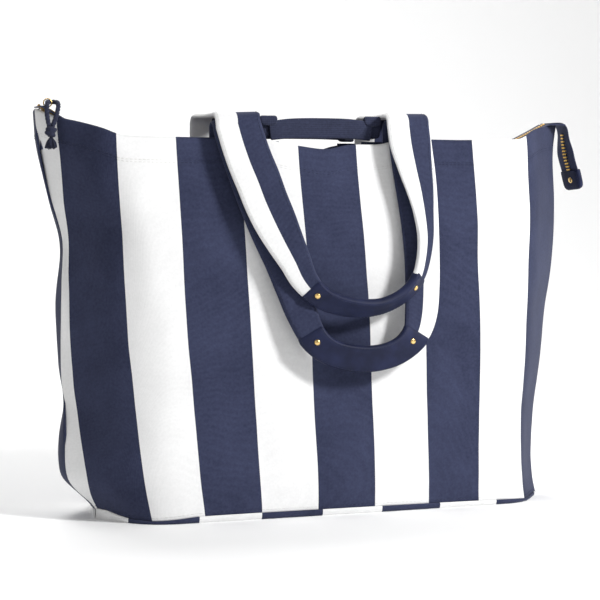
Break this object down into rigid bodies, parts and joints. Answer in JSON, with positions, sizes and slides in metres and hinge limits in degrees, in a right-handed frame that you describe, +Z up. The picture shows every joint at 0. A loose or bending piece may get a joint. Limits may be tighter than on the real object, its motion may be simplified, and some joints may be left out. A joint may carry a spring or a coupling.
{
  "type": "weekender bag",
  "caption": "Soft striped canvas weekender bag with a zip top, long shoulder handles hung over its front, short webbing grab handles and a rope zip pull.",
  "frame": {"origin": "centre of the base on the floor, midway between the side seams", "axes": "+X along the bag's width with the zip's tail at +X, front face towards -Y, +Z up"},
  "size_m": [0.6062, 0.1989, 0.4246],
  "materials": {
    "striped_canvas": "woven cotton canvas with wide printed stripes, matte",
    "strap_canvas": "woven cotton canvas, navy with white edge stripes, matte",
    "webbing": "ribbed cotton webbing, matte",
    "lining_cloth": "plain woven cotton, matte",
    "binding_tape": "cotton binding tape, matte",
    "stiffener_board": "thin polypropylene board",
    "zip_tape": "herringbone zip tape, matte",
    "zip_teeth": "pressed zip teeth, satin",
    "zip_brass": "polished slider and ring",
    "leather": "smooth navy leather with a soft sheen",
    "rivet_brass": "polished",
    "rope": "twisted navy cotton cord"
  },
  "bodies": {
    "bag": {"front_panel": "striped_canvas", "back_panel": "striped_canvas", "front_lining": "lining_cloth", "back_lining": "lining_cloth", "front_facing": "lining_cloth", "back_facing": "lining_cloth", "base_panel": "striped_canvas", "base_board": "stiffener_board", "base_lining": "lining_cloth", "left_seam_binding": "binding_tape", "right_seam_binding": "binding_tape", "front_zip_tape": "zip_tape", "back_zip_tape": "zip_tape", "front_zip_teeth": "zip_teeth", "back_zip_teeth": "zip_teeth", "front_zip_gusset": "lining_cloth", "back_zip_gusset": "lining_cloth", "front_strap_ends": "strap_canvas", "back_strap_ends": "strap_canvas", "front_grab_ends": "webbing", "back_grab_ends": "webbing", "front_handle_folds": "strap_canvas", "back_handle_root_folds": "strap_canvas", "zip_tail_fold": "zip_tape"},
    "slider": {"zip_slider": "zip_brass"},
    "ring": {"pull_ring": "zip_brass"},
    "pull": {"pull_rope": "rope", "pull_knot": "rope", "pull_tuft": "rope"},
    "tail": {"zip_tail_tape": "zip_tape", "zip_tail_teeth": "zip_teeth", "zip_end_tab": "leather", "zip_tab_rivet": "rivet_brass"},
    "front_handle": {"front_handle_strap": "strap_canvas", "front_handle_grip": "leather", "front_grip_rivets": "rivet_brass"},
    "back_bridge": {"back_handle_bridges": "strap_canvas", "back_handle_folds": "strap_canvas"},
    "back_handle": {"back_handle_strap": "strap_canvas", "back_handle_grip": "leather", "back_grip_rivets": "rivet_brass"},
    "front_grab": {"front_grab_handle": "webbing"},
    "back_grab": {"back_grab_handle": "webbing"}
  },
  "joints": [
    {"name": "zip_slide", "type": "hinge", "parent": "bag", "child": "slider", "pos_m": [0.004, 0, 0.8937], "axis": [0, -1, 0], "range_deg": [0, 57.85], "deforming": ["pull_rope", "pull_knot", "pull_tuft"]},
    {"name": "ring_swing", "type": "hinge", "parent": "slider", "child": "ring", "pos_m": [-0.28336, -0.0065, 0.41604], "axis": [0.8624, 0, -0.5062], "range_deg": [0, 80]},
    {"name": "rope_swing", "type": "hinge", "parent": "ring", "child": "pull", "pos_m": [-0.28123, -0.0065, 0.41967], "axis": [-1, 0, 0], "range_deg": [0, 70]},
    {"name": "tail_lift", "type": "hinge", "parent": "bag", "child": "tail", "pos_m": [0.2925, 0, 0.3955], "axis": [0, -1, 0], "range_deg": [0, 78], "deforming": ["zip_tail_fold"]},
    {"name": "back_handle_lift", "type": "hinge", "parent": "bag", "child": "back_bridge", "pos_m": [0, 0.028, 0.399], "axis": [-1, 0, 0], "range_deg": [0, 90], "deforming": ["back_handle_root_folds"]},
    {"name": "back_handle_fold", "type": "hinge", "parent": "back_bridge", "child": "back_handle", "pos_m": [0, -0.055, 0.399], "axis": [-1, 0, 0], "range_deg": [0, 76.5], "deforming": ["back_handle_folds"]},
    {"name": "front_handle_lift", "type": "hinge", "parent": "bag", "child": "front_handle", "pos_m": [0, -0.046, 0.395], "axis": [-1, 0, 0], "range_deg": [0, 166.5], "deforming": ["front_handle_folds"]},
    {"name": "front_grab_flop", "type": "hinge", "parent": "bag", "child": "front_grab", "pos_m": [0, -0.039, 0.383], "axis": [1, 0, 0], "range_deg": [-50, 25], "stiffness_Nm_per_rad": 0.02},
    {"name": "back_grab_flop", "type": "hinge", "parent": "bag", "child": "back_grab", "pos_m": [0, 0.039, 0.383], "axis": [1, 0, 0], "range_deg": [0, 75]}
  ],
  "couplings": [
    {"joint": "back_handle_fold", "follows": "back_handle_lift", "ratio": 0.85},
    {"joint": "front_handle_lift", "follows": "back_handle_lift", "ratio": 1.85}
  ]
}
